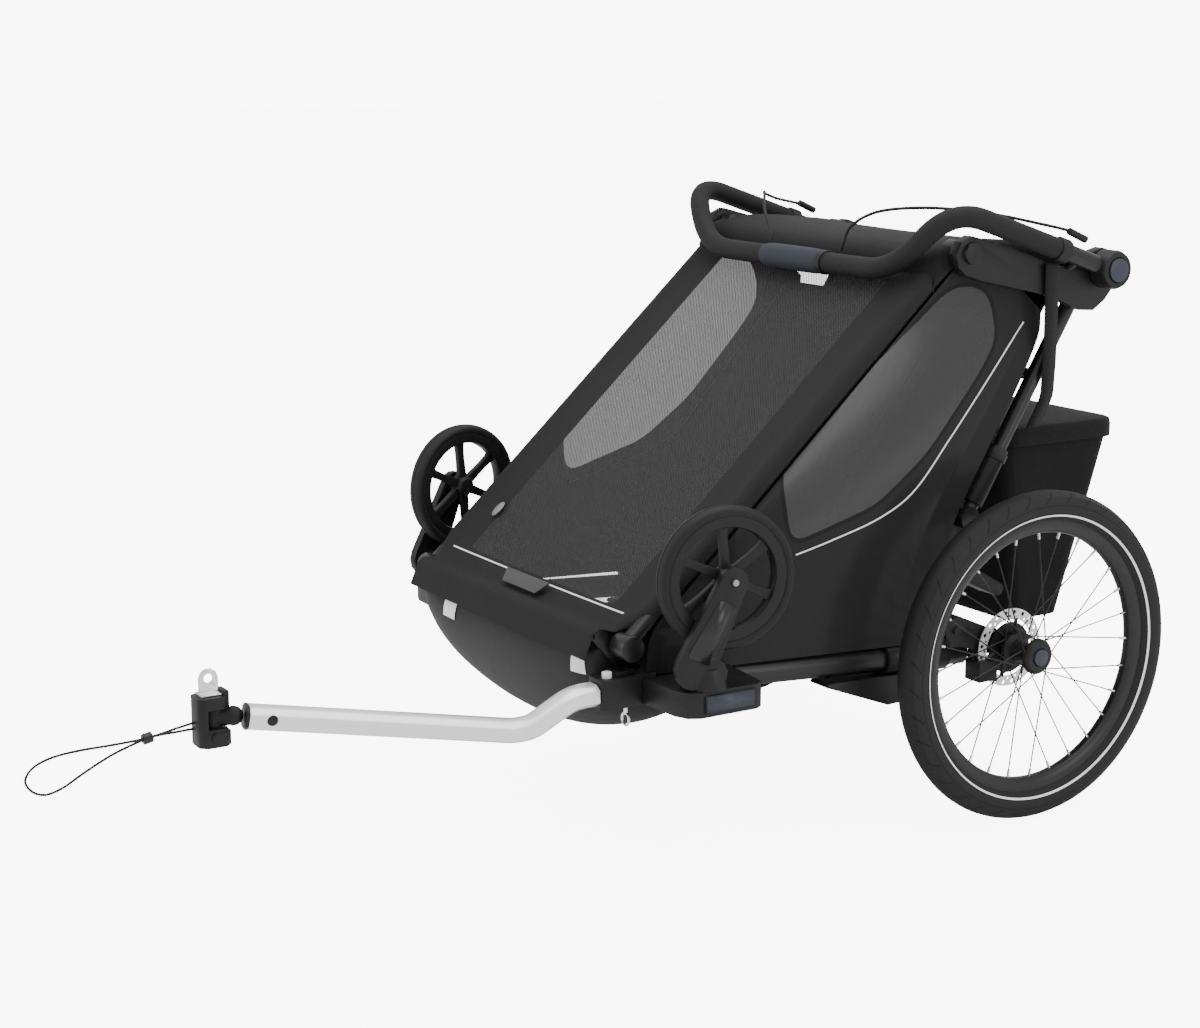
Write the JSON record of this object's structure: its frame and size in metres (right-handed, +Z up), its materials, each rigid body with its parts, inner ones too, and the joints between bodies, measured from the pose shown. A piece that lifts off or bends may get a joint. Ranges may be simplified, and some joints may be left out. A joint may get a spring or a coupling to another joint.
{
  "type": "child bicycle trailer",
  "caption": "Enclosed two-seat child trailer for towing behind a bicycle, with a folding tube frame, mesh front cover, spoked wheels, parked stroller wheels and a pivoting tow hitch.",
  "frame": {"origin": "on the ground, under the middle of the trailer's width and length without its tether", "axes": "+Z up, the front and the tow arm point to -Y, the trailer's left side and the tow arm are on +X"},
  "size_m": [0.8234, 1.7639, 0.9146],
  "materials": {
    "black_paint": "satin black",
    "bare_aluminium": "satin, clear anodised",
    "steel": "ground steel",
    "black_plastic": "fine grained black",
    "slate_plastic": "matte blue-grey",
    "white_plastic": "glossy white",
    "foam": "closed-cell foam",
    "rubber": "black rubber",
    "tyre": "black tyre with a pale ring",
    "black_fabric": "woven polyester",
    "grey_fabric": "coated nylon",
    "webbing": "woven webbing",
    "cord": "sheathed cord"
  },
  "bodies": {
    "chassis": {"side_tube_left": "black_paint", "side_tube_right": "black_paint", "front_bar": "black_paint", "axle_beam": "black_plastic", "footwell_floor": "grey_fabric", "caster_bracket_left": "black_plastic", "caster_bracket_right": "black_plastic", "seat": "black_fabric", "harness_left": "webbing", "harness_right": "webbing", "side_panel_left": "black_fabric", "side_panel_right": "black_fabric", "bag_strap_left": "webbing", "bag_strap_right": "webbing", "cargo_bag": "black_fabric", "arm_receiver": "black_plastic", "tow_arm": "bare_aluminium", "arm_plug": "black_plastic"},
    "cargo_lid": {"cargo_lid": "black_fabric"},
    "front_frame": {"front_tube_left": "black_paint", "front_tube_right": "black_paint", "front_cover": "black_fabric"},
    "top_frame": {"top_rail_left": "black_plastic", "top_rail_right": "black_plastic", "top_cross_tube": "black_paint", "canopy": "black_fabric"},
    "rear_frame": {"upright_frame": "black_paint", "upright_sleeve_left": "black_plastic", "upright_sleeve_right": "black_plastic", "back_panel": "black_fabric"},
    "handlebar": {"handlebar_tube": "black_paint", "handlebar_foam": "foam", "grip_sleeve": "slate_plastic", "brake_cable_left": "cord", "brake_cable_right": "cord"},
    "lock_pin": {"lock_pin": "steel"},
    "receiver_button": {"receiver_button": "white_plastic"},
    "arm_button": {"arm_button": "black_plastic"},
    "hitch_neck": {"hitch_neck": "rubber"},
    "hitch": {"hitch_body": "black_plastic", "hitch_ear": "steel", "tether": "cord", "tether_bead": "black_plastic"},
    "pivot_button_left": {"pivot_button_left": "slate_plastic"},
    "suspension_left": {"suspension_arm_left": "black_plastic"},
    "wheel_left": {"wheel_left": "black_paint", "tyre_left": "tyre", "brake_rotor_left": "steel"},
    "hub_button_left": {"hub_button_left": "slate_plastic"},
    "caster_fork_left": {"caster_fork_left": "black_plastic"},
    "caster_wheel_left": {"caster_wheel_left": "rubber"},
    "pivot_button_right": {"pivot_button_right": "slate_plastic"},
    "suspension_right": {"suspension_arm_right": "black_plastic"},
    "wheel_right": {"wheel_right": "black_paint", "tyre_right": "tyre", "brake_rotor_right": "steel"},
    "hub_button_right": {"hub_button_right": "slate_plastic"},
    "caster_fork_right": {"caster_fork_right": "black_plastic"},
    "caster_wheel_right": {"caster_wheel_right": "rubber"}
  },
  "joints": [
    {"name": "front_fold", "type": "hinge", "parent": "chassis", "child": "front_frame", "pos_m": [0, -0.1895, 0.335], "axis": [-1, 0, 0], "range_deg": [0, 16.2], "deforming": ["front_cover", "canopy", "back_panel", "seat", "harness_left", "harness_right", "side_panel_left", "side_panel_right", "bag_strap_left", "bag_strap_right", "cargo_bag", "cargo_lid"]},
    {"name": "top_fold", "type": "hinge", "parent": "front_frame", "child": "top_frame", "pos_m": [0, 0.3735, 0.847], "axis": [-1, 0, 0], "range_deg": [-25.8, 0]},
    {"name": "rear_fold", "type": "hinge", "parent": "chassis", "child": "rear_frame", "pos_m": [0, 0.4085, 0.45], "axis": [-1, 0, 0], "range_deg": [0, 26.6]},
    {"name": "handlebar_swing", "type": "hinge", "parent": "top_frame", "child": "handlebar", "pos_m": [0, 0.6295, 0.812], "axis": [-1, 0, 0], "range_deg": [0, 150]},
    {"name": "lid_hinge", "type": "hinge", "parent": "chassis", "child": "cargo_lid", "pos_m": [0, 0.5285, 0.556], "axis": [1, 0, 0], "range_deg": [0, 65]},
    {"name": "pivot_button_press_left", "type": "slide", "parent": "handlebar", "child": "pivot_button_left", "axis": [-1, 0, 0], "range_m": [0, 0.005], "stiffness_N_per_m": 600, "springref_m": -0.002},
    {"name": "suspension_swing_left", "type": "hinge", "parent": "chassis", "child": "suspension_left", "pos_m": [0.312, 0.3615, 0.291], "axis": [1, 0, 0], "range_deg": [-3, 4], "stiffness_Nm_per_rad": 300, "springref_deg": -1.26},
    {"name": "wheel_spin_left", "type": "hinge", "parent": "suspension_left", "child": "wheel_left", "pos_m": [0.38, 0.4685, 0.25], "axis": [1, 0, 0], "continuous": true},
    {"name": "hub_button_press_left", "type": "slide", "parent": "wheel_left", "child": "hub_button_left", "axis": [-1, 0, 0], "range_m": [0, 0.004], "stiffness_N_per_m": 600, "springref_m": -0.002},
    {"name": "caster_lift_left", "type": "slide", "parent": "chassis", "child": "caster_fork_left", "axis": [0, 0, 1], "range_m": [0, 0.03]},
    {"name": "caster_spin_left", "type": "hinge", "parent": "caster_fork_left", "child": "caster_wheel_left", "pos_m": [0.3752, -0.08735, 0.438], "axis": [0.9848, -0.1736, 0], "continuous": true},
    {"name": "pivot_button_press_right", "type": "slide", "parent": "handlebar", "child": "pivot_button_right", "axis": [1, 0, 0], "range_m": [0, 0.005], "stiffness_N_per_m": 600, "springref_m": -0.002},
    {"name": "suspension_swing_right", "type": "hinge", "parent": "chassis", "child": "suspension_right", "pos_m": [-0.312, 0.3615, 0.291], "axis": [1, 0, 0], "range_deg": [-3, 4], "stiffness_Nm_per_rad": 300, "springref_deg": -1.26},
    {"name": "wheel_spin_right", "type": "hinge", "parent": "suspension_right", "child": "wheel_right", "pos_m": [-0.38, 0.4685, 0.25], "axis": [1, 0, 0], "continuous": true},
    {"name": "hub_button_press_right", "type": "slide", "parent": "wheel_right", "child": "hub_button_right", "axis": [1, 0, 0], "range_m": [0, 0.004], "stiffness_N_per_m": 600, "springref_m": -0.002},
    {"name": "caster_lift_right", "type": "slide", "parent": "chassis", "child": "caster_fork_right", "axis": [0, 0, 1], "range_m": [0, 0.03]},
    {"name": "caster_spin_right", "type": "hinge", "parent": "caster_fork_right", "child": "caster_wheel_right", "pos_m": [-0.3752, -0.08735, 0.438], "axis": [0.9848, 0.1736, 0], "continuous": true},
    {"name": "lock_pin_pull", "type": "slide", "parent": "chassis", "child": "lock_pin", "axis": [0, 0, -1], "range_m": [0, 0.008], "stiffness_N_per_m": 500, "springref_m": -0.004},
    {"name": "receiver_button_press", "type": "slide", "parent": "chassis", "child": "receiver_button", "axis": [0, 0, -1], "range_m": [0, 0.003], "stiffness_N_per_m": 800, "springref_m": -0.002},
    {"name": "arm_button_press", "type": "slide", "parent": "chassis", "child": "arm_button", "axis": [-1, 0, 0], "range_m": [0, 0.004], "stiffness_N_per_m": 600, "springref_m": -0.002},
    {"name": "hitch_flex", "type": "hinge", "parent": "chassis", "child": "hitch_neck", "pos_m": [0.17996, -0.72163, 0.2949], "axis": [-1, 0, 0], "range_deg": [-15, 25]},
    {"name": "hitch_swivel", "type": "hinge", "parent": "hitch_neck", "child": "hitch", "pos_m": [0.17, -0.7455, 0.2945], "axis": [0, 0, 1], "range_deg": [-60, 60]}
  ],
  "couplings": [
    {"joint": "top_fold", "follows": "front_fold", "ratio": -1.586},
    {"joint": "rear_fold", "follows": "front_fold", "ratio": 1.635}
  ]
}
